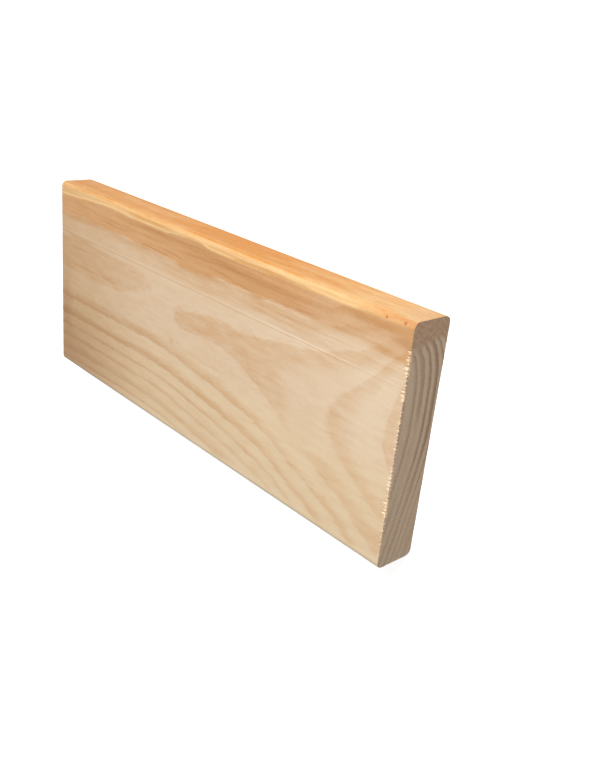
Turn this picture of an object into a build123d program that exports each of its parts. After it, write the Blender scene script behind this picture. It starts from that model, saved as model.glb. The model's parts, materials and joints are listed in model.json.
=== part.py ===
from build123d import *
import os

# Planed softwood plank, lying flat on its back face. All sizes in millimetres.
# X runs along the grain, Y across the width, Z through the thickness. The origin
# is the middle of the underside, so the plank stands on Z = 0.

# Driving dimensions of the dressed section and of the cut length
plank_length = 355.0       # cross-cut to length by saw, square at both ends
plank_width = 145.0        # finished width after planing
plank_thickness = 28.0     # finished thickness after planing
arris_radius = 4.0         # the planer's easing cutter rounds all four long arrises

os.makedirs("parts", exist_ok=True)

# The planed section, seen along the grain. Only the long arrises are eased: the
# cutters run with the board, and the cross-cut saw leaves the end arrises sharp.
first_saw_cut = Plane.YZ.offset(-plank_length / 2)

with BuildPart() as plank:
    with BuildSketch(first_saw_cut):
        with Locations((0, plank_thickness / 2)):
            Rectangle(plank_width, plank_thickness)
        # The easing can be no larger than half of the narrower face
        largest_easing = 0.49 * min(plank_width, plank_thickness)
        fillet(vertices(), radius=min(arris_radius, largest_easing))
    # One piece of stock, carried in one run from the first saw cut to the second
    extrude(amount=plank_length)

plank.part.label = "plank"
export_step(plank.part, "parts/plank.step")

section_area = plank.part.volume / plank_length
print(f"plank: {plank_length:g} x {plank_width:g} x {plank_thickness:g} mm")
print(f"planed section: {section_area:.1f} mm2, flat of the wide face {plank_width - 2 * arris_radius:g} mm")
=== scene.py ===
# %% [markdown]
# # A short length of planed pine, lying flat
#
# The real thing is one piece of softwood: sawn from a log, planed on four sides,
# its long arrises eased by the cutter, and cross-cut square at both ends. There is
# nothing to assemble, so all the interest is in the wood itself. The growth rings
# of the log run through the whole plank, and each face shows another slice of them.
# We therefore describe the log once, as a solid field, and let that one field
# drive both the relief of the mesh and the colours of the material.

# %% Load the fixed frame
import json
import math
import bpy
from collections import namedtuple
from mathutils import Matrix, Vector

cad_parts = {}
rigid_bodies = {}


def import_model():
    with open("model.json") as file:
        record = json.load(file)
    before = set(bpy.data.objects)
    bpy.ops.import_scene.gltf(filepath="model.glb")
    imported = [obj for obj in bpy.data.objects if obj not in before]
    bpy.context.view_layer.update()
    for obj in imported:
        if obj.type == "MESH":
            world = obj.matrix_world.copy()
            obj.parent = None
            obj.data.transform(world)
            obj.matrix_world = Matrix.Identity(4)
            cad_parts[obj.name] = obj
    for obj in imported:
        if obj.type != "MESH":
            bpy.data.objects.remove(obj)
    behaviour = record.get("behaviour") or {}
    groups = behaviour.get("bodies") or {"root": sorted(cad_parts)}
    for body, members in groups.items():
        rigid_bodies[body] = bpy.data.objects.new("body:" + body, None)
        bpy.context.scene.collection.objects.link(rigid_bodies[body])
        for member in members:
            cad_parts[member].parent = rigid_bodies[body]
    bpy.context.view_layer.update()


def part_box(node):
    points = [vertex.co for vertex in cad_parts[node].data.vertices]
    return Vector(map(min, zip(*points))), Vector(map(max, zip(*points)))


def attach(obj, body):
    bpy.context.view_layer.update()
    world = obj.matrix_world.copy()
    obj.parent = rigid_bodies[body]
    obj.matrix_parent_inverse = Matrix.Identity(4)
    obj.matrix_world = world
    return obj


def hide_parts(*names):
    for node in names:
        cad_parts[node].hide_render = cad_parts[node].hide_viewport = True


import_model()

MM = 0.001                      # one millimetre in Blender's metres
low, high = (Vector(corner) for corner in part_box("plank"))
size = high - low
LENGTH, WIDTH, THICKNESS = (side / MM for side in size)
print(f"plank in the frame: {LENGTH:.1f} x {WIDTH:.1f} x {THICKNESS:.1f} mm")

# %% [markdown]
# ## Where the eye stands
#
# The camera is set first, because everything after it is judged through it. It
# looks down on the plank at about forty degrees, from beyond the sawn end that
# lies at +X. The camera could be aimed by a constraint, but a plank lying flat is
# seen with a roll, as if the photographer had tilted the head. So we give three
# plain facts: where the camera is, the point it aims at, and which direction of
# the room is up in the picture.

# %% Camera
CAMERA_AT = Vector((0.43225, 0.20547, 0.35230))
AIMED_AT = Vector((0.10190, 0.00867, 0.02800))
PICTURE_UP = Vector((-0.35224, 0.91505, -0.19648))
LENS_MM, SENSOR_MM = 40.59, 36.0

view_along = (AIMED_AT - CAMERA_AT).normalized()
picture_right = view_along.cross(PICTURE_UP).normalized()
picture_up = picture_right.cross(view_along)
turn = Matrix((picture_right, picture_up, -view_along)).transposed()

bpy.ops.object.camera_add(location=CAMERA_AT, rotation=turn.to_euler())
camera = bpy.context.object
camera.name = "camera"
camera.data.lens = LENS_MM
camera.data.sensor_width = SENSOR_MM
camera.data.clip_start = 0.01
bpy.context.scene.camera = camera
print(f"camera looks down at {math.degrees(math.asin(-view_along.z)):.1f} degrees")

# %% [markdown]
# ## A bench for nodes
#
# Wood is mostly arithmetic: distances to the pith, ring counts, masks. Written as
# bare nodes this becomes unreadable, so one small class wraps a socket and lets
# ordinary Python expressions lay the Math nodes. The same class works in a shader
# tree and in a Geometry Nodes tree, which is what lets one description of the log
# serve both the mesh and the material.

# %% A wire that understands arithmetic
class Wire:
    """The output socket of a node, for use in plain expressions."""

    def __init__(self, bench, socket):
        self.bench = bench
        self.socket = socket

    def __add__(self, other):
        return self.bench.maths("ADD", self, other)

    def __sub__(self, other):
        return self.bench.maths("SUBTRACT", self, other)

    def __mul__(self, other):
        return self.bench.maths("MULTIPLY", self, other)

    def __truediv__(self, other):
        return self.bench.maths("DIVIDE", self, other)

    def __rsub__(self, other):
        return self.bench.maths("SUBTRACT", other, self)

    __radd__ = __add__
    __rmul__ = __mul__


# %% The bench on which nodes are laid
class Bench:
    """One node tree, and the few ways in which nodes are laid on it."""

    def __init__(self, tree):
        self.tree = tree
        tree.nodes.clear()

    def node(self, kind, settings=None, inputs=None):
        """Adds a node. Its settings come first, then the values or wires of its sockets."""
        made = self.tree.nodes.new(kind)
        for name, value in (settings or {}).items():
            if name == "points":
                dots = made.mapping.curves[0].points
                dots[0].location, dots[1].location = value[0], value[-1]
                for dot in value[1:-1]:
                    dots.new(*dot)
                made.mapping.update()
            else:
                setattr(made, name, value)
        for key, value in (inputs or {}).items():
            if isinstance(value, Wire):
                self.tree.links.new(value.socket, made.inputs[key])
            else:
                made.inputs[key].default_value = value
        return made

    def wire(self, kind, settings=None, inputs=None, output=0):
        return Wire(self, self.node(kind, settings, inputs).outputs[output])

    def maths(self, operation, first, second=0.0):
        return self.wire("ShaderNodeMath", {"operation": operation}, {0: first, 1: second})

    def away(self, value, middle):
        """How far a value is from a middle one, on either side."""
        return self.maths("ABSOLUTE", value - middle)

    def hypotenuse(self, first, second):
        return self.maths("SQRT", first * first + second * second)

    def ease(self, value, start, end):
        """0 before start, 1 after end, and a soft S between them. start may be the larger."""
        limits = {"Value": value, "From Min": start, "From Max": end}
        return self.wire("ShaderNodeMapRange", {"interpolation_type": "SMOOTHSTEP"}, limits)

    def between(self, value, start, full, fading, end):
        """0 up to start, 1 from full to fading, and 0 again from end on."""
        return self.ease(value, start, full) * self.ease(value, end, fading)

    def line(self, value, middle, rim, core):
        """1 within core of the middle value, 0 farther from it than rim."""
        return self.ease(self.away(value, middle), rim, core)

    def curve(self, value, points):
        """Reads a drawn curve, given as (input, output) pairs in real units."""
        across = [point[0] for point in points]
        up = [point[1] for point in points]
        x0, x1, y0, y1 = across[0], across[-1], min(up), max(up)
        drawn = [((x - x0) / (x1 - x0), (y - y0) / (y1 - y0)) for x, y in points]
        share = {"Value": (value - x0) / (x1 - x0)}
        return self.wire("ShaderNodeFloatCurve", {"points": drawn}, share) * (y1 - y0) + y0

    def join(self, x, y, z):
        return self.wire("ShaderNodeCombineXYZ", None, {0: x, 1: y, 2: z})

    def noise(self, place, detail=2.0, roughness=0.5):
        """Smooth noise from -1 to 1, one cell for each unit of place."""
        settings = {"Vector": place, "Scale": 1.0, "Detail": detail, "Roughness": roughness}
        return self.wire("ShaderNodeTexNoise", None, settings) * 2.0 - 1.0

    def blend(self, amount, first, second, way="MIX"):
        """Mixes two colours."""
        settings = {"data_type": "RGBA", "blend_type": way}
        return self.wire("ShaderNodeMix", settings, {0: amount, 6: first, 7: second}, 2)


# %% [markdown]
# ## The log inside the plank
#
# A growth ring is a surface of equal age around the pith. On the real board the
# pith lies well in front of the wide upper face, nearest to it at the far right of
# the picture, where the rings close into tongues and brackets. A Wood texture gives
# perfect cylinders about a straight axis, and could never close a tongue. So the
# distance to the pith is drawn as a curve along the board, and the rings
# on both sides of it fall away along a hyperbola, as in a stem that isn't round.
#
# Three numbers say where a point is, all in mm: how far along the board from the
# far end, how far across it from the +Y edge, and how far below the upper face.
# Each curve is a list of pairs: a place along the board, and the value there.

# %% Where the pith runs
# How far the pith line is offset in depth, and where across the face the rings
# come nearest to it.
PITH_DEPTH = [(0, -0.25), (80, -0.25), (110, 0.1), (140, 0.3), (170, 0.25), (205, 0.15),
              (230, -0.15), (252, -0.9), (280, -3.1), (310, -6.4), (335, -10.9), (355, -15.2)]
PITH_SIDE = [(0, 52.5), (130, 53), (180, 57), (230, 62), (260, 67), (300, 73), (330, 73), (355, 58)]
# Only the innermost rings follow a small drift of that place, and a pinch that
# parts a tongue from a lens.
PITH_DRIFT = [(0, 0), (80, 0), (112, -5), (132, -2), (152, 6),
              (180, 2), (215, -2), (240, 0), (355, 0)]
PINCH = [(0, 0), (90, 0), (115, 0.12), (132, 0.25), (143, 0.55),
         (152, 0.1), (165, -0.05), (215, 0), (355, 0)]
CORE_MM = (27.0, 8.0)           # from the pith line, where both begin and where they are full

# %% How the rings leave the pith line
# Above that line the rings climb towards the resinous wood: where they reach it, by
# how many mm they climb, and how abruptly.
CLIMB_TOP = [(0, 21.5), (140, 22.5), (170, 24.5), (200, 21.5), (285, 21),
             (310, 16), (335, 12), (355, 10.5)]
CLIMB_MM = [(0, 5.9), (80, 5.9), (137, 5.15), (200, 5.4), (250, 6.7),
            (280, 8.8), (310, 11.5), (335, 13.3), (355, 12.8)]
STEEPNESS = [(0, 2.4), (200, 2.4), (300, 2.1), (328, 1.9), (341, 2.4), (355, 4.35)]
RESIN_LEAN = 0.15               # mm nearer the +Y edge for each mm below the face
# Below that line they fall away: how steeply, in mm of growth for each mm of width,
# and over how many mm they bend before they fall straight, at the two ends.
FALL_SLOPE = [(0, 1.35), (185, 1.35), (240, 1.1), (280, 0.72), (320, 0.38), (350, 0.28), (355, 0.28)]
FAR_BEND, NEAR_BEND = 150.0, 20.0
BEND_SHRINKS = (200.0, 350.0)   # mm along the board

# %% The years of growth
# The outside of each year's growth, in mm of the field, and each year's summer
# wood: how dark it is, and at which share of the year it starts.
RING_EDGES = [-24.0, -18.5, -12.7, -5.05, 0.55, 5.7, 11.1, 15.4, 20.4,
              27.0, 32.0, 36.5, 41.5, 46.0, 51.0, 55.5, 60.5]
SUMMER_DEPTH = [(0, 0.6), (1, 0.5), (2, 0.7), (3, 0.72), (4, 1.0), (5, 1.1), (6, 1.0),
                (7, 0.75), (8, 0.65), (9, 0.8), (10, 0.7), (16, 0.8)]
SUMMER_START = [(0, 0.5), (1, 0.5), (2, 0.6), (3, 0.3), (4, 0.5), (5, 0.4), (6, 0.55),
                (7, 0.55), (8, 0.35), (9, 0.5), (10, 0.45), (16, 0.5)]
growth = RING_EDGES[-1] - RING_EDGES[0]
print(f"{len(RING_EDGES) - 1} years of growth in {growth:.0f} mm")

# %% Places, and noise that follows the grain
Place = namedtuple("Place", "along across below")


def board_place(bench, point):
    """Splits a point into mm along the board, down from the +Y edge, and below the upper face."""
    parts = bench.node("ShaderNodeSeparateXYZ", None, {0: point})
    x, y, z = (Wire(bench, socket) for socket in parts.outputs)
    return Place(x / MM + LENGTH / 2, WIDTH / 2 - y / MM, THICKNESS - z / MM)


def streaks(bench, place, length, thickness, detail=3.0, roughness=0.6):
    """Noise from -1 to 1, drawn out along the grain in cells of this length and thickness."""
    along, across, below = place
    cells = bench.join(along / length, across / thickness, below / thickness)
    return bench.noise(cells, detail, roughness)


# %% The growth field
def log_field(bench, place):
    """Gives the growth field in mm, and the climb from the pith line (0) to the resin (1)."""
    along, across, below = place
    pith = bench.curve(along, PITH_SIDE)
    close = bench.line(across, pith, *CORE_MM)
    pith = pith + bench.curve(along, PITH_DRIFT) * close
    top = bench.curve(along, CLIMB_TOP) - below * RESIN_LEAN
    climb = bench.maths("MAXIMUM", (pith - across) / (pith - top), 0.0)
    upper = bench.maths("POWER", climb, bench.curve(along, STEEPNESS)) * bench.curve(along, CLIMB_MM)
    fall = bench.maths("MAXIMUM", across - pith, 0.0)
    bend = FAR_BEND - bench.ease(along, *BEND_SHRINKS) * (FAR_BEND - NEAR_BEND)
    lower = (bench.hypotenuse(fall, bend) - bend) * bench.curve(along, FALL_SLOPE)
    depth = bench.curve(along, PITH_DEPTH) + bench.curve(along, PINCH) * close
    return depth + below + upper + lower, climb


# %% Summer wood
CALM_LINE = 57.0                # mm across, where the rings wander least
WANDER_STARTS = (6.0, 32.0)     # mm to either side of that line
RAGGED_STARTS = (14.0, 40.0)
ROUGHER = (262.0, 300.0)        # mm along, where the near end's rings grow more ragged
FLAT_CUT = (285.0, 325.0)       # mm along, where the rings come to be cut at a flat angle
PALE_YEAR = 3.0


def ring_age(bench, place, field, rougher):
    """The age of the wood in years, with the irregular edge that real rings have."""
    beside = bench.away(place.across, CALM_LINE)
    wander = streaks(bench, place, 60.0, 15.0, detail=2.0, roughness=0.5) * 0.5
    wander = wander * bench.ease(beside, *WANDER_STARTS)
    ragged = streaks(bench, place, 9.0, 2.6, detail=4.0)
    ragged = ragged * (0.26 + bench.ease(beside, *RAGGED_STARTS) * 0.6 + rougher * 0.2)
    counted = [(edge, float(count)) for count, edge in enumerate(RING_EDGES)]
    return bench.curve(field + wander + ragged, counted)


def paled(bench, place, year):
    """How far one year's summer wood fades: before the tongue's tip, and behind the bracket."""
    tongue = bench.ease(place.along, 148.0, 138.0) * 0.42
    hollow = bench.ease(place.along, 250.0, 286.0)
    hollow = hollow * bench.between(place.across, 48.0, 62.0, 94.0, 108.0)
    return bench.maths("COMPARE", year, PALE_YEAR) * (tongue + hollow * 0.7)


def rings(bench, place):
    """Gives how dark the summer wood is at each point, 0 to 1, and the climb to the resin."""
    field, climb = log_field(bench, place)
    rougher = bench.ease(place.along, *ROUGHER)
    age = ring_age(bench, place, field, rougher)
    year = bench.maths("FLOOR", age)
    grown = bench.maths("FRACT", age)
    # Where the rings are cut at a flat angle, their summer wood shows wider.
    start = bench.curve(year, SUMMER_START) - bench.ease(place.along, *FLAT_CUT) * 0.16
    # Summer wood darkens slowly, and ends at once where the next spring begins.
    late = bench.ease(grown, start, start + 0.42) * bench.ease(grown, 1.0, 0.955 - rougher * 0.06)
    return late * bench.curve(year, SUMMER_DEPTH) * (1.0 - paled(bench, place, year)), climb


# %% [markdown]
# ## The board's body
#
# The CAD solid is right in every size, but it has no relief at all, while a sawn
# end is never clean and fibres tear out along its arris. So a finer body replaces
# it. It could be sculpted, but a plank is made by machines, and so is this one: a
# block is brought to size, its four long arrises are eased by a bevel, and it is
# cut into rows that lie close together where the saw tore it and far apart
# elsewhere. Along the grain the rows are far coarser than across it, because the
# relief of wood is too.

# %% Helpers that pick by place
def mesh_edit(piece, kind):
    """Enters edit mode on one piece, with nothing selected."""
    if piece.mode == "EDIT":
        bpy.ops.object.mode_set(mode="OBJECT")
    bpy.ops.object.select_all(action="DESELECT")
    piece.select_set(True)
    bpy.context.view_layer.objects.active = piece
    bpy.ops.object.mode_set(mode="EDIT")
    bpy.ops.mesh.select_mode(type=kind)
    bpy.ops.mesh.select_all(action="DESELECT")


def pick_faces(piece, wanted):
    """Selects the faces that satisfy a test."""
    mesh_edit(piece, "FACE")
    bpy.ops.object.mode_set(mode="OBJECT")
    for face in piece.data.polygons:
        face.select = wanted(face)
    bpy.ops.object.mode_set(mode="EDIT")


def pick_edges(piece, axis, longer_than=0.0, shorter_than=1.0, beyond=0.0):
    """Selects the edges parallel to an axis, by length and by distance from the middle."""
    mesh_edit(piece, "EDGE")
    bpy.ops.object.mode_set(mode="OBJECT")
    points = piece.data.vertices
    for edge in piece.data.edges:
        first, second = (points[i].co for i in edge.vertices)
        step = second - first
        parallel = abs(step[axis]) > 0.999 * step.length
        sized = longer_than < step.length < shorter_than
        edge.select = parallel and sized and max(abs(first.x), abs(second.x)) > beyond
    bpy.ops.object.mode_set(mode="EDIT")


# %% Block with eased arrises
EASING = 4.0 * MM               # radius of the four long arrises

bpy.ops.object.select_all(action="DESELECT")
bpy.ops.mesh.primitive_cube_add(size=1.0, location=(0.0, 0.0, 0.0))
board = bpy.context.object
board.name = "planed_board"
mesh_edit(board, "EDGE")
bpy.ops.mesh.select_all(action="SELECT")
bpy.ops.transform.resize(value=size)
bpy.ops.transform.translate(value=(low + high) / 2)

pick_edges(board, axis=0)
bpy.ops.mesh.bevel(offset=EASING, segments=6, affect="EDGES")

# The two sawn ends are still single faces with 28 corners. Cutting them where the
# arrises begin leaves plain rectangles, which can be divided like the other faces.
cuts = [((0, 1, 0), 0.0, size.y / 2), ((0, 0, 1), size.z / 2, size.z / 2)]
for plane_normal, middle, reach in cuts:
    for side in (-1, 1):
        pick_faces(board, lambda face: abs(face.normal.x) > 0.9)
        cut_at = Vector(plane_normal) * (middle + side * (reach - EASING))
        bpy.ops.mesh.bisect(plane_co=cut_at, plane_no=plane_normal, threshold=0.01 * MM)
bpy.ops.object.mode_set(mode="OBJECT")
print(f"block: {len(board.data.polygons)} faces")

# %% Rows along the grain and strips across it
ROWS = 89                       # each about 4 mm long
END_ROWS = 8                    # the rows at the two ends are divided again
ROW = LENGTH * MM / ROWS
# Axis, number of strips, and how long an edge must be to be divided. An operator
# makes a hundred cuts at most, so the wide faces are divided twice.
STRIPS = [(1, 10, 100 * MM), (1, 24, 10 * MM), (2, 36, 10 * MM)]
EASING_STRIPS = 8

pick_edges(board, axis=0)
bpy.ops.mesh.subdivide(number_cuts=ROWS - 1)
pick_edges(board, axis=0, beyond=high.x - ROW / 2)
bpy.ops.mesh.subdivide(number_cuts=END_ROWS - 1)

for axis, parts, longer_than in STRIPS:
    pick_edges(board, axis, longer_than)
    bpy.ops.mesh.subdivide(number_cuts=parts - 1)
for axis in (1, 2):
    pick_edges(board, axis, 0.9 * EASING, 1.1 * EASING)
    bpy.ops.mesh.subdivide(number_cuts=EASING_STRIPS - 1)
pick_faces(board, lambda face: len(face.vertices) > 4)
bpy.ops.mesh.poke()
bpy.ops.object.mode_set(mode="OBJECT")
triangles = sum(len(face.vertices) - 2 for face in board.data.polygons)
print(f"body: {triangles} triangles")

# %% [markdown]
# ## What the machines left on the surface
#
# A planed face isn't flat. Spring wood gives way under the cutter and ends a hair
# lower than the hard summer wood, and a nick in the knife leaves one thin ridge
# from end to end. The saw leaves shallow arcs on both ends, and where its teeth
# came out it tore small splinters from the arris. All this could be a bump map,
# but then it would be missing from the mesh. So Geometry Nodes sink the surface
# by these depths, and the ring field they read is the one the colours will read.

# %% Marks of the planer's knife
KNIFE_NICK = 35.5               # mm across
RIDGE = (0.0, 0.8)              # mm beside the nick, and half width
SCRATCH = (1.2, 0.7)
WORN_AWAY = (285.0, 325.0)      # mm along


def knife_mark(bench, place, beside, half_width):
    """A line from end to end on the upper face, partly worn away at the near end."""
    mark = bench.line(place.across - KNIFE_NICK, beside, half_width, 0.1)
    worn = 1.0 - bench.ease(place.along, *WORN_AWAY) * 0.65
    return mark * bench.ease(place.below, 1.5, 0.5) * worn


# %% Marks of the saw
TORN_REACH = 4.2                # mm that the longest splinter runs in from the arris
# Across the board: how much longer or shorter the splinters are than elsewhere.
TORN_WHERE = [(0, -1.2), (12, -0.9), (15, 0.2), (27, 0.35), (30, -0.1), (35, 0.05), (38, 0.4),
              (42, 0.3), (45, -0.15), (52, 0.1), (60, -0.05), (67, 0.1), (75, -0.15), (84, 0.2),
              (93, 0.25), (97, -0.1), (102, 0.4), (109, 0.4), (113, -0.1), (122, 0.1),
              (130, -0.1), (139, -0.4), (145, -1.2)]
BLADE_ABOVE, BLADE_BESIDE = 90.0, 60.0      # mm from the blade's axle to the board's corner
TOOTH_WAVES = 2.6               # radians of the saw's marks for each mm of radius


def torn_fibres(bench, place):
    """1 where the saw tore fibres out of the upper arris of the near end."""
    inward = (LENGTH - place.along) / TORN_REACH
    uneven = bench.noise(bench.join(place.across / 4.0, 7.0, 0.0), 2.0) * 5.0
    comb = bench.maths("SINE", place.across * 2.9 + uneven)
    tufts = bench.noise(bench.join(place.across / 2.3, 3.0, 0.0), 3.0, 0.6)
    reach = comb * 0.28 + tufts * 0.8 + bench.curve(place.across, TORN_WHERE)
    spikes = bench.ease(reach - inward, 0.0, 0.18)
    return spikes * bench.ease(inward, 1.0, 0.75) * bench.ease(place.below, 1.4, 0.3)


def saw_arcs(bench, place):
    """Arcs of a circular blade on the two sawn ends, from 0 to 1."""
    up = place.below + BLADE_ABOVE
    down = place.across + BLADE_BESIDE
    chatter = bench.noise(bench.join(up / 9.0, down / 9.0, place.along), 1.0) * 1.5
    wave = bench.maths("SINE", bench.hypotenuse(up, down) * TOOTH_WAVES + chatter)
    return wave * 0.5 + 0.5


def sawn_end(bench, place):
    """1 on both sawn ends, 0 on the planed faces."""
    inward = bench.maths("MINIMUM", place.along, LENGTH - place.along)
    return bench.ease(inward, 0.30, 0.12)


# %% Relief by Geometry Nodes, sunk into the mesh
SKIN_MM, RIDGE_MM, SCRATCH_MM, SAW_MM, TORN_MM = 0.05, 0.04, 0.06, 0.09, 0.55

tree = bpy.data.node_groups.new("wood_relief", "GeometryNodeTree")
tree.interface.new_socket(name="Geometry", in_out="INPUT", socket_type="NodeSocketGeometry")
tree.interface.new_socket(name="Geometry", in_out="OUTPUT", socket_type="NodeSocketGeometry")
bench = Bench(tree)
body = bench.wire("NodeGroupInput")
place = board_place(bench, bench.wire("GeometryNodeInputPosition"))
late, climb = rings(bench, place)

spring = bench.maths("MAXIMUM", 1.0 - late, 0.0)
planed = spring * SKIN_MM
planed = planed + (1.0 - knife_mark(bench, place, *RIDGE)) * RIDGE_MM
planed = planed + knife_mark(bench, place, *SCRATCH) * SCRATCH_MM
sawn = (saw_arcs(bench, place) + spring) * SAW_MM
torn = torn_fibres(bench, place) * TORN_MM
depth = planed + (sawn - planed) * sawn_end(bench, place) + torn
normal = bench.wire("GeometryNodeInputNormal")
inward = bench.wire("ShaderNodeVectorMath", {"operation": "SCALE"}, {0: normal, "Scale": depth * -MM})
sunk = bench.wire("GeometryNodeSetPosition", None, {"Geometry": body, "Offset": inward})
bench.node("NodeGroupOutput", None, {"Geometry": sunk})

# %% The relief becomes part of the mesh
relief = board.modifiers.new("wood_relief", "NODES")
relief.node_group = tree
bpy.ops.object.select_all(action="DESELECT")
board.select_set(True)
bpy.context.view_layer.objects.active = board
before = [vertex.co.copy() for vertex in board.data.vertices]
bpy.ops.object.modifier_apply(modifier=relief.name)
moved = [(new.co - old).length / MM for new, old in zip(board.data.vertices, before)]
bpy.ops.object.shade_smooth_by_angle(angle=math.radians(40))
print(f"relief: {min(moved):.3f} to {max(moved):.3f} mm deep")

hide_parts("plank")
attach(board, "root")

# %% [markdown]
# ## The colours of pine
#
# Fresh pine is cream where it grew in spring and tan where it grew in summer. The
# strip along the +Y edge is resinous: there the same wood is orange, and darker
# streaks of resin run with the grain. A sawn end drinks light instead of throwing
# it back, because one looks down the open fibres, so it is a quarter darker and
# greyer. A painted texture could copy one photograph. Masks worked out from the
# ring field give the same picture on all six faces, and the rings meet at every
# arris, as they do only in real wood.

# %% Paints
def tone(red, green, blue):
    """A colour as a screen names it, 0 to 255, in Blender's linear values."""
    shares = [value / 255 for value in (red, green, blue)]
    linear = [share / 12.92 if share < 0.04 else ((share + 0.055) / 1.055) ** 2.4 for share in shares]
    return (*linear, 1.0)


SPRING, SUMMER = tone(229, 207, 178), tone(202, 154, 104)
RESIN_SPRING, RESIN_SUMMER = tone(213, 164, 115), tone(186, 131, 80)
# The orange of the edge paints is partly painted warm light.
EDGE_PALE, EDGE_DEEP = tone(227, 189, 136), tone(207, 136, 56)
END_SPRING, END_SUMMER = tone(203, 179, 152), tone(156, 130, 108)
END_RESIN = tone(172, 139, 111)
SPLINTER = tone(255, 228, 194)
# The colour of the painted sheen on the knife's line and on the fibres beside it.
PAINTED_SHEEN = tone(246, 230, 205)
# A painted highlight for the start of the arris.
PAINTED_GLINT = tone(248, 204, 146)

# %% Tints
# They multiply a colour: where the wood is darker and yellower, dulled, in painted
# shade, warmed or blushed.
# Darker and yellower towards the far end.
FAR_END_TINT = (0.88, 0.82, 0.74, 1.0)
# Dulls browner rings, and is also laid as painted shade over the far end's lower corner.
DULLED_AND_SHADED = (0.76, 0.71, 0.70, 1.0)
WARMED = (1.0, 0.975, 0.89, 1.0)
BLUSHED = (0.99, 0.92, 0.91, 1.0)
PEACH = (0.94, 0.87, 0.86, 1.0)
COOLED = (0.93, 0.93, 0.99, 1.0)
RESIN_DOT = (0.78, 0.50, 0.32, 1.0)


def tinted(bench, amount, colour, tint):
    """Lays a multiplying tint over a colour."""
    return bench.blend(amount, colour, bench.blend(1.0, colour, tint, "MULTIPLY"))


# %% Masks of the wide face
# Where the resin ends across the face, and how strongly it shows.
RESIN_EDGE = [(0, 21.5), (140, 22.5), (170, 24.5), (200, 21.5), (280, 20.5),
              (300, 20), (320, 19), (335, 19), (355, 22)]
RESIN_SHARE = [(0, 1.0), (250, 1.0), (280, 0.84), (302, 0.62), (318, 0.66), (335, 0.62), (355, 0.75)]
# How dark the spring wood is, how clear the rings are, and where a painted sheen
# brightens the fibres that the planer polished.
SPRING_SHADE = [(0, 0.40), (60, 0.32), (140, 0.27), (200, 0.26), (240, 0.22),
                (285, 0.20), (310, 0.16), (335, 0.11), (355, 0.16)]
RING_STRENGTH = [(0, 1.0), (230, 0.95), (260, 0.8), (285, 0.7),
                 (302, 1.0), (320, 0.8), (340, 1.0), (355, 1.1)]
PAINTED_SHEEN_WHERE = [(0, 0), (205, 0), (262, 1), (328, 1), (338, 0.3), (346, 1), (355, 1)]

# %% Masks of the edge and its arris
# Where across the arris the orange of the edge starts, and how deep it is. That
# orange is partly resin and partly painted warm light.
EDGE_START = [(0, 9.5), (30, 8.2), (50, 7.0), (62, 6.0), (82, 6.0), (100, 6.9), (135, 6.8),
              (146, 5.8), (158, 4.9), (170, 4.5), (182, 5.4), (192, 6.4), (222, 6.7),
              (246, 6.0), (300, 5.6), (326, 4.9), (355, 4.4)]
EDGE_ORANGE = [(0, 0.84), (90, 0.84), (140, 0.9), (190, 1.0), (240, 0.9),
               (290, 0.68), (318, 0.42), (338, 0.32), (355, 0.48)]
# The band of lighter wood over the arris: how clear it is, and how far it shifts.
ARRIS_BAND = [(0, 1.0), (292, 1.0), (318, 0.45), (332, 0.12), (355, 0.05)]
ARRIS_SHIFT = [(0, 0), (60, 0.2), (85, -0.9), (130, -1.1), (150, -0.4), (185, 0), (215, -0.5),
               (245, 0.3), (280, 0.2), (300, 0.6), (320, 1.0), (355, 1.0)]
# Where a painted highlight lies along the start of the arris.
PAINTED_GLINT_WHERE = [(0, 1.0), (35, 0.9), (50, 0.6), (62, 0.9), (90, 0.9), (105, 0.3), (122, 0.5),
               (140, 0.05), (165, 0.05), (182, 0.7), (200, 0.9), (215, 0.3), (250, 0), (268, 0.1),
               (282, 0.8), (305, 1.0), (318, 0.35), (355, 0.1)]

# %% [markdown]
# ## Streaks and grain
#
# Between the rings the wood isn't even. Fibres, flecks and clouds run with the
# grain, and a few darker streaks stand out singly. Noise drawn out along the grain
# gives the first kind, but it never puts a streak where this board has one. So the
# streaks that the eye remembers are listed, each as one tapered line.

# %% Single streaks, listed one by one
# Each runs from one place, along and across, to another, and has a half width and
# a darkness. A streak of less than no darkness is paler than the wood around it.
FACE_STREAKS = [
    (8, 59.5, 92, 58.5, 2.2, 0.17),
    (8, 38.0, 48, 38.5, 1.4, 0.26),
    (8, 46.5, 46, 45.5, 1.2, 0.16),
    (205, 29.0, 300, 30.5, 1.5, 0.22),
    (225, 26.0, 285, 27.0, 1.2, 0.16),
    (100, 32.0, 235, 31.5, 1.8, 0.10),
    (243, 33.0, 268, 33.5, 1.0, 0.12),
    (170, 62.0, 228, 58.0, 2.4, 0.10),
    (343, 66.0, 356, 88.0, 3.0, 0.14),
    (148, 79.5, 222, 82.5, 1.3, 0.14),
    (290, 6.5, 420, 9.0, 4.5, 0.75),
    (316, 22.0, 400, 19.0, 5.0, 0.4),
    (60, 31.5, 420, 31.0, 7.0, 0.14),
    (215, 24.0, 305, 27.0, 4.5, 0.16),
]
RESIN_STREAKS = [
    (86, 8.0, 290, 13.5, 3.6, 0.25),
    (66, 10.0, 150, 9.0, 2.2, 0.40),
    (50, 17.0, 98, 17.5, 0.8, 0.60),
    (103, 21.0, 150, 21.5, 0.8, 0.60),
    (128, 17.0, 168, 20.5, 0.8, 0.55),
    (188, 16.5, 242, 22.0, 1.2, 0.40),
    (238, 22.0, 296, 17.0, 1.2, 0.35),
    (8, 11.0, 60, 13.5, 1.4, 0.25),
    (150, 14.0, 235, 12.0, 1.6, 0.30),
    (300, 8.0, 356, 9.0, 3.2, 0.35),
    (338, 11.0, 380, 19.0, 4.0, 0.60),
]
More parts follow.
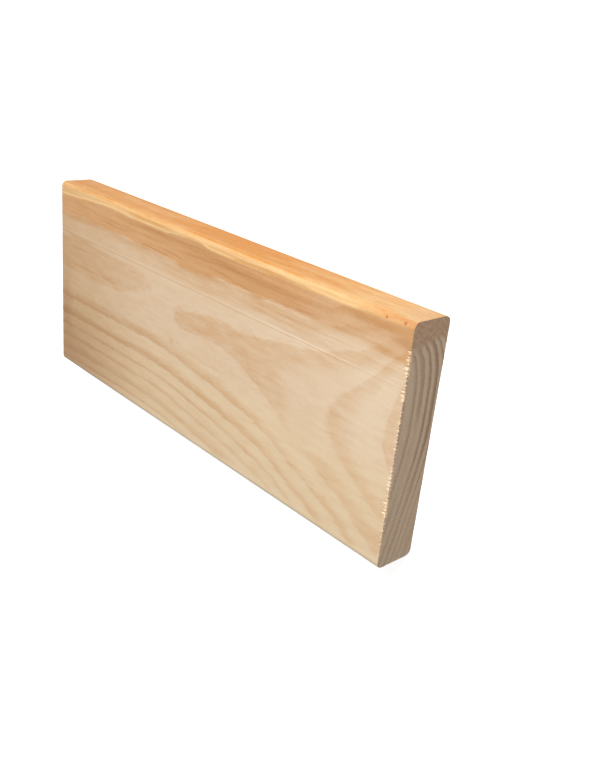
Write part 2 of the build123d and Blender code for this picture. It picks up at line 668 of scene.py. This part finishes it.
# On the arris, across is counted from the middle of its curve towards the edge.
ARRIS_LINES = [
    (-20, -2.0, 120, 0.4, 0.5, 0.26),
    (70, -3.2, 190, 0.2, 0.5, 0.4),
    (150, -1.8, 260, 1.4, 0.5, 0.35),
    (300, -4.0, 420, -3.0, 3.2, 0.10),
    (285, -0.3, 380, 0.3, 2.2, 0.16),
    (196, -3.8, 285, -4.6, 0.8, 0.35),
    (50, 16.5, 155, 17.0, 5.0, -0.3),
    (235, 15.0, 310, 17.0, 5.0, -0.25),
]
print(f"streaks: {len(FACE_STREAKS)} face, {len(RESIN_STREAKS)} resin, {len(ARRIS_LINES)} arris")


# %% Streaks, spots and grain
def drawn_streaks(bench, along, across, drawn):
    """Adds up a list of streaks, each soft at its sides and tapered at its ends."""
    total = 0.0
    for start, start_across, end, end_across, half_width, darkness in drawn:
        share = (along - start) / (end - start)
        middle = start_across + share * (end_across - start_across)
        ends = bench.between(share, 0.0, 0.3, 0.7, 1.0)
        total = total + bench.line(across, middle, half_width, half_width * 0.1) * ends * darkness
    return total


def spot(bench, along, across, middle_along, middle_across, radius):
    """1 in the middle of a small round spot, 0 outside it."""
    off = bench.hypotenuse(along - middle_along, across - middle_across)
    return bench.ease(off, radius, radius * 0.3)


Grain = namedtuple("Grain", "fine broad flecks clouds wobble")


def wood_grain(bench, place):
    """The noises that all the paints share, from hair-thin fibres to broad clouds."""
    fine = streaks(bench, place, 40.0, 0.5)
    broad = streaks(bench, place, 110.0, 2.6)
    flecks = streaks(bench, place, 3.4, 1.1)
    clouds = streaks(bench, place, 20.0, 4.5)
    wobble = streaks(bench, place, 14.0, 6.0) * 1.6
    return Grain(fine, broad, flecks, clouds, wobble)


# %% [markdown]
# ## The wide faces
#
# A planed face is read by its darkness first: the rings, the wood between them and
# the marks upon it. Colours could be mixed layer by layer, but each layer would
# dull the one below it. So the darkness of every layer is worked out as a number,
# and only their sum picks a colour between spring wood and summer wood. The tints,
# some of them painted shade, and the painted sheen on fibres that the knife polished
# come last, because they change the hue.

# %% How far the resin reaches
RESIN_SLANT = 0.25              # mm nearer the +Y edge for each mm below the face
FRAYED_MM = 3.2
MARGIN_MM = 15.0                # width of the darker margin beside it


def resin_zone(bench, place):
    """1 in the resinous strip along the +Y edge, and the soft margin beside it."""
    frayed = streaks(bench, place, 22.0, 2.6) * FRAYED_MM
    border = bench.curve(place.along, RESIN_EDGE) - place.below * RESIN_SLANT
    inside = border + frayed - place.across
    soft = 1.2 + bench.ease(place.along, 270.0, 330.0) * 4.0
    zone = bench.ease(inside / soft, -1.0, 1.0) * bench.curve(place.along, RESIN_SHARE)
    margin = bench.ease(inside, -MARGIN_MM, 0.0) * (0.5 + streaks(bench, place, 55.0, 1.4) * 1.2)
    return zone, margin


# %% How dark the wide faces are
# Where a painted highlight lightens the face as it turns over into its lower arris.
PAINTED_RIM_LIGHT = (137.0, 143.0)      # mm across, where the face turns over into its lower arris


def face_rings(bench, place, late, climb, browner, grain):
    """How much the rings darken a wide face."""
    strength = 0.45 + grain.broad * 0.13 + grain.clouds * 0.18
    strength = bench.curve(place.along, RING_STRENGTH) * strength
    fainter = bench.ease(place.across, 84.0, 112.0) * bench.ease(place.along, 185.0, 235.0)
    strength = strength * (1.0 - fainter * 0.25) * (1.0 - browner * 0.5)
    # Above the pith line the rings are faint, and resin streaks take their place.
    return late * strength * (1.0 - bench.ease(climb, 0.45, 0.95) * 0.5)


def face_shade(bench, place, margin, grain):
    """How dark the wood between the rings is, less a painted highlight along the lower arris."""
    along, across, below = place
    paler = bench.ease(across, 78.0, 92.0) * bench.between(along, 90.0, 170.0, 290.0, 330.0)
    shade = bench.curve(along, SPRING_SHADE) - paler * 0.1
    mottled = grain.clouds * 0.24 + grain.flecks * 0.14 + grain.fine * 0.06 + margin * 0.36
    # Painted highlight: the face is made paler along its lower arris, as if that arris caught the
    # light.
    rim = bench.ease(across, *PAINTED_RIM_LIGHT) * bench.ease(below, 6.0, 2.0)
    return shade + mottled - rim * (0.25 + bench.ease(along, 100.0, 150.0) * 0.2)


def face_marks(bench, place, grain):
    """The single streaks, one short dash across the grain, and painted shade in the knife's groove."""
    along, across, below = place
    marks = drawn_streaks(bench, along, across + grain.wobble, FACE_STREAKS)
    marks = marks + spot(bench, along, across * 0.5, 150.5, 39.3, 1.6) * 0.3
    # Painted shade: the knife's groove is darkened.
    return marks + knife_mark(bench, place, *SCRATCH) * 0.22


# %% Tints with painted shade, and the painted sheen of the wide faces
def face_tints(bench, place, wood, late, browner, grain):
    """Darkens and yellows the far end, paints shade into its lower corner, and warms the lower half.
    """
    along, across, below = place
    yellow = bench.ease(along, 140.0, 5.0) + grain.clouds * 0.15
    yellow = yellow * (1.0 - bench.ease(across, 36.0, 26.0) * 0.45)
    wood = tinted(bench, yellow, wood, FAR_END_TINT)
    wood = tinted(bench, late * browner * 0.42, wood, DULLED_AND_SHADED)
    # Painted shade: the lower corner of the far end, and a strip along the far end itself, are
    # darkened.
    corner = bench.ease(along, 125.0, 0.0) * bench.ease(across, 62.0, 142.0)
    corner = corner + bench.ease(along, 20.0, 4.0) * bench.ease(across, 30.0, 95.0) * 0.5
    wood = tinted(bench, corner, wood, DULLED_AND_SHADED)
    return tinted(bench, bench.ease(across, 66.0, 105.0) * 0.85, wood, WARMED)


def painted_sheen(bench, place):
    """Painted highlights: the knife's bright line, and a painted sheen on the fibres that it polished
    beside it.
    """
    along, across, below = place
    on_top = bench.ease(below, 2.0, 0.5)
    fibres = bench.between(across, 20.0, 27.0, 37.0, 44.0) * bench.curve(along, PAINTED_SHEEN_WHERE)
    fibres = fibres * bench.ease(streaks(bench, place, 26.0, 0.75), 0.1, 0.45) * 0.42
    bright = 0.16 + bench.ease(along, 215.0, 262.0) * 0.34 - bench.ease(along, 285.0, 330.0) * 0.3
    line = bench.line(across, KNIFE_NICK, 0.7, 0.1) * bright
    return bench.maths("MAXIMUM", fibres * on_top, line * on_top)


# %% Wood of the wide faces
def face_wood(bench, place, late, climb, margin, grain):
    """Planed pine between the two edges."""
    # Towards the far end the lower rings are as clear, but browner and less golden.
    browner = bench.ease(place.along, 230.0, 60.0) * bench.ease(place.across, 62.0, 95.0)
    dark = face_rings(bench, place, late, climb, browner, grain)
    dark = dark + face_shade(bench, place, margin, grain) + face_marks(bench, place, grain)
    wood = bench.blend(dark, SPRING, SUMMER)
    wood = face_tints(bench, place, wood, late, browner, grain)
    # Last comes the painted sheen of the knife's line and of the fibres beside it.
    return bench.blend(painted_sheen(bench, place), wood, PAINTED_SHEEN)


# %% [markdown]
# ## The resinous edge
#
# Resin has soaked the wood along the +Y edge. On the wide face it shows as a brown
# strip with streaks. On the edge itself, which faces the lamp, it shows as orange,
# and that orange is partly painted warm light. The arris between them is cut at a
# slant through both, and a band of paler wood runs along it. One ramp of colours
# could not turn from brown to orange at the arris, so each has its own two paints,
# and a soft border between them.

# %% Wood of the resinous strip
def resin_wood(bench, place, late, grain):
    """The brown strip of the wide face, beside the edge."""
    dark = bench.ease(grain.broad, -0.25, 0.5) * 0.36 + bench.ease(place.along, 100.0, 220.0) * 0.22
    dark = dark + late * 0.1 + grain.fine * 0.25 + grain.flecks * 0.26 + grain.clouds * 0.3
    dark = dark + drawn_streaks(bench, place.along, place.across + grain.wobble, RESIN_STREAKS)
    return bench.blend(dark, RESIN_SPRING, RESIN_SUMMER)


# %% Wood of the orange edge
RESIN_DOTS = [(348.5, 2.4, 1.4), (336.0, 2.9, 1.1)]     # mm along, mm across, radius


def arris_band(bench, along, beyond, wobble):
    """Over the arris the section crosses lighter wood, in thin lines that run together."""
    lines = bench.noise(bench.join(along / 75.0, (beyond + wobble * 0.5) / 2.0, 4.0), 2.0)
    band = bench.ease(beyond + wobble * 0.3, 2.1, 0.0) * (0.66 + lines * 1.4)
    return band * bench.curve(along, ARRIS_BAND)


def edge_wood(bench, place, start, grain):
    """The orange of the +Y edge and of the arris above it, partly resinous wood and partly painted
    warm light.
    """
    along, across, below = place
    orange = bench.curve(along, EDGE_ORANGE)
    deep = orange * (0.82 + bench.ease(below, 4.0, 9.0) * 0.18)
    beyond = below - across - bench.curve(along, ARRIS_SHIFT)
    dark = deep * (1.0 - arris_band(bench, along, beyond, grain.wobble))
    dark = dark + grain.broad * 0.35 + grain.fine * 0.14 + grain.flecks * 0.26
    dark = dark + grain.clouds * (1.6 - orange) * 0.6
    dark = dark + drawn_streaks(bench, along, beyond + grain.wobble * 0.3, ARRIS_LINES)
    # The orange paints are partly painted warm light.
    wood = bench.blend(dark, EDGE_PALE, EDGE_DEEP)
    peach = bench.ease(along, 300.0, 340.0) * bench.ease(beyond, 3.0, 0.5)
    wood = tinted(bench, peach, wood, PEACH)
    wood = tinted(bench, bench.ease(along, 332.0, 350.0), wood, COOLED)
    # Where the planed face turns over, a painted highlight lies on the sharp start of
    # the arris here and there.
    painted_glint = bench.line(across + grain.wobble * 0.3 + 1.4, start, 1.2, 0.2)
    wood = bench.blend(painted_glint * bench.curve(along, PAINTED_GLINT_WHERE) * 0.8, wood, PAINTED_GLINT)
    dots = sum(spot(bench, along, across, *dot) for dot in RESIN_DOTS)
    return tinted(bench, dots, wood, RESIN_DOT)


# %% [markdown]
# ## The sawn ends, and all of it together
#
# On a sawn end the rings stand as dark curves, and the saw has left the open fibres
# rough. It could be a material of its own, but then the border would need faces
# picked for it. A mask by the distance from the end does the same in one material,
# which also keeps the rings in step around the arris.

# %% Wood of the sawn ends
def end_wood(bench, place, late):
    """Gives the colour of a sawn end, and its texture of open pores and swirls."""
    along, across, below = place
    pores = streaks(bench, place, 1.0, 0.5, roughness=0.5)
    swirls = bench.noise(bench.join(along, across / 2.2, below / 1.6), 3.0, 0.6)
    # The rings begin below a cap of resin, and are fainter in the lower half.
    clear = bench.ease(across + below * 0.28, 12.0, 18.0)
    clear = clear * (1.0 - bench.ease(across, 62.0, 112.0) * 0.62)
    dark = late * clear * 0.85 + pores * 0.34 + swirls * 0.26
    wood = bench.blend(dark, END_SPRING, END_SUMMER)
    capped = bench.ease(across + below * 0.2, 18.0, 13.0) * (0.75 + swirls * 0.8)
    wood = bench.blend(capped, wood, END_RESIN)
    blush = bench.noise(bench.join(along, across / 8.0, below / 2.6), 2.0)
    wood = tinted(bench, bench.ease(blush, -0.1, 0.45) * 0.8, wood, BLUSHED)
    return wood, pores * 0.05 + swirls * 0.05


# %% Planed pine
def planed_pine():
    """Lays the woods over each other, and gives them their gloss and their bump."""
    material = bpy.data.materials.new("planed_pine")
    material.use_nodes = True
    bench = Bench(material.node_tree)
    place = board_place(bench, bench.wire("ShaderNodeTexCoord", output="Object"))
    late, climb = rings(bench, place)
    end = sawn_end(bench, place)
    resin, margin = resin_zone(bench, place)
    grain = wood_grain(bench, place)

    face = face_wood(bench, place, late, climb, margin, grain)
    face = bench.blend(resin, face, resin_wood(bench, place, late, grain))
    start = bench.curve(place.along, EDGE_START)
    to_edge = bench.ease(place.across + grain.wobble * 0.25 - start, 0.4, -0.5)
    face = bench.blend(to_edge, face, edge_wood(bench, place, start, grain))
    face = bench.blend(torn_fibres(bench, place) * 0.75, face, SPLINTER)
    sawn, open_grain = end_wood(bench, place, late)
    colour = bench.blend(end, face, sawn)

    rough = 0.62 - late * 0.06 - resin * 0.06 + end * 0.25
    height = late * 0.03 + grain.fine * 0.02 + grain.flecks * 0.02 + open_grain * end
    normal = bench.wire("ShaderNodeBump", None, {"Strength": 0.6, "Distance": MM, "Height": height})
    surface = {"Base Color": colour, "Roughness": rough, "Normal": normal, "Specular IOR Level": 0.2}
    shader = bench.wire("ShaderNodeBsdfPrincipled", None, surface)
    bench.node("ShaderNodeOutputMaterial", None, {"Surface": shader})
    print(f"planed_pine: {len(bench.tree.nodes)} nodes")
    return material


board.data.materials.clear()
board.data.materials.append(planed_pine())

# %% [markdown]
# ## The table and the light
#
# The plank lies on a white table under one large soft lamp, which stands beyond
# the +Y edge. That edge is therefore the brightest face, the wide face is a little
# duller and the sawn end turned to us lies in half shade. The table looks white
# only where it is seen, straight or in a reflection. For light that bounces it is
# a mid grey, so the sides of the board aren't washed out from below.

# %% Table
TABLE_GREY, SEEN_GREY = (0.45, 0.45, 0.45, 1.0), (0.55, 0.55, 0.55, 1.0)
TABLE_GLOW = 0.78               # light of its own that lifts the seen table to white
WHITE = (1.0, 1.0, 1.0, 1.0)


def looked_at(bench):
    """1 for what is seen straight, in a gloss or through something clear, 0 for bounced light."""
    rays = bench.node("ShaderNodeLightPath")
    names = ("Is Camera Ray", "Is Glossy Ray", "Is Transmission Ray")
    straight, glossy, through = (Wire(bench, rays.outputs[name]) for name in names)
    return bench.maths("MAXIMUM", bench.maths("MAXIMUM", straight, glossy), through)


bpy.ops.object.select_all(action="DESELECT")
bpy.ops.mesh.primitive_grid_add(x_subdivisions=2, y_subdivisions=2, size=8.0, location=(0.0, 0.0, 0.0))
table = bpy.context.object
table.name = "table"
paper = bpy.data.materials.new("white_table")
paper.use_nodes = True
bench = Bench(paper.node_tree)
seen = looked_at(bench)
grey = bench.blend(seen, TABLE_GREY, SEEN_GREY)
glow = bench.wire("ShaderNodeEmission", None, {"Color": WHITE, "Strength": seen * TABLE_GLOW})
matt = bench.wire("ShaderNodeBsdfDiffuse", None, {"Color": grey})
both = bench.wire("ShaderNodeAddShader", None, {0: matt, 1: glow})
bench.node("ShaderNodeOutputMaterial", None, {"Surface": both})
table.data.materials.append(paper)

# %% Lamp
LAMP_AT, LAMP_AIM = Vector((0.38, 0.92, 0.82)), Vector((0.0, 0.0, 0.02))
LAMP_SIZE, LAMP_WATTS = 0.6, 16.0

bpy.ops.object.light_add(type="AREA", location=LAMP_AT)
lamp = bpy.context.object
lamp.name = "key_lamp"
lamp.data.shape = "DISK"
lamp.data.size = LAMP_SIZE
lamp.data.energy = LAMP_WATTS
lamp.rotation_euler = (LAMP_AT - LAMP_AIM).to_track_quat("Z", "Y").to_euler()
print(f"lamp: {(LAMP_AT - LAMP_AIM).length:.2f} m from the plank")

# %% Room
ROOM_SEEN, ROOM_LIGHT = 1.0, 0.38

room = bpy.data.worlds.new("room")
room.use_nodes = True
bench = Bench(room.node_tree)
level = looked_at(bench) * (ROOM_SEEN - ROOM_LIGHT) + ROOM_LIGHT
sky = bench.wire("ShaderNodeBackground", None, {"Color": WHITE, "Strength": level})
bench.node("ShaderNodeOutputWorld", None, {"Surface": sky})
bpy.context.scene.world = room
bpy.context.scene.view_settings.view_transform = "Standard"
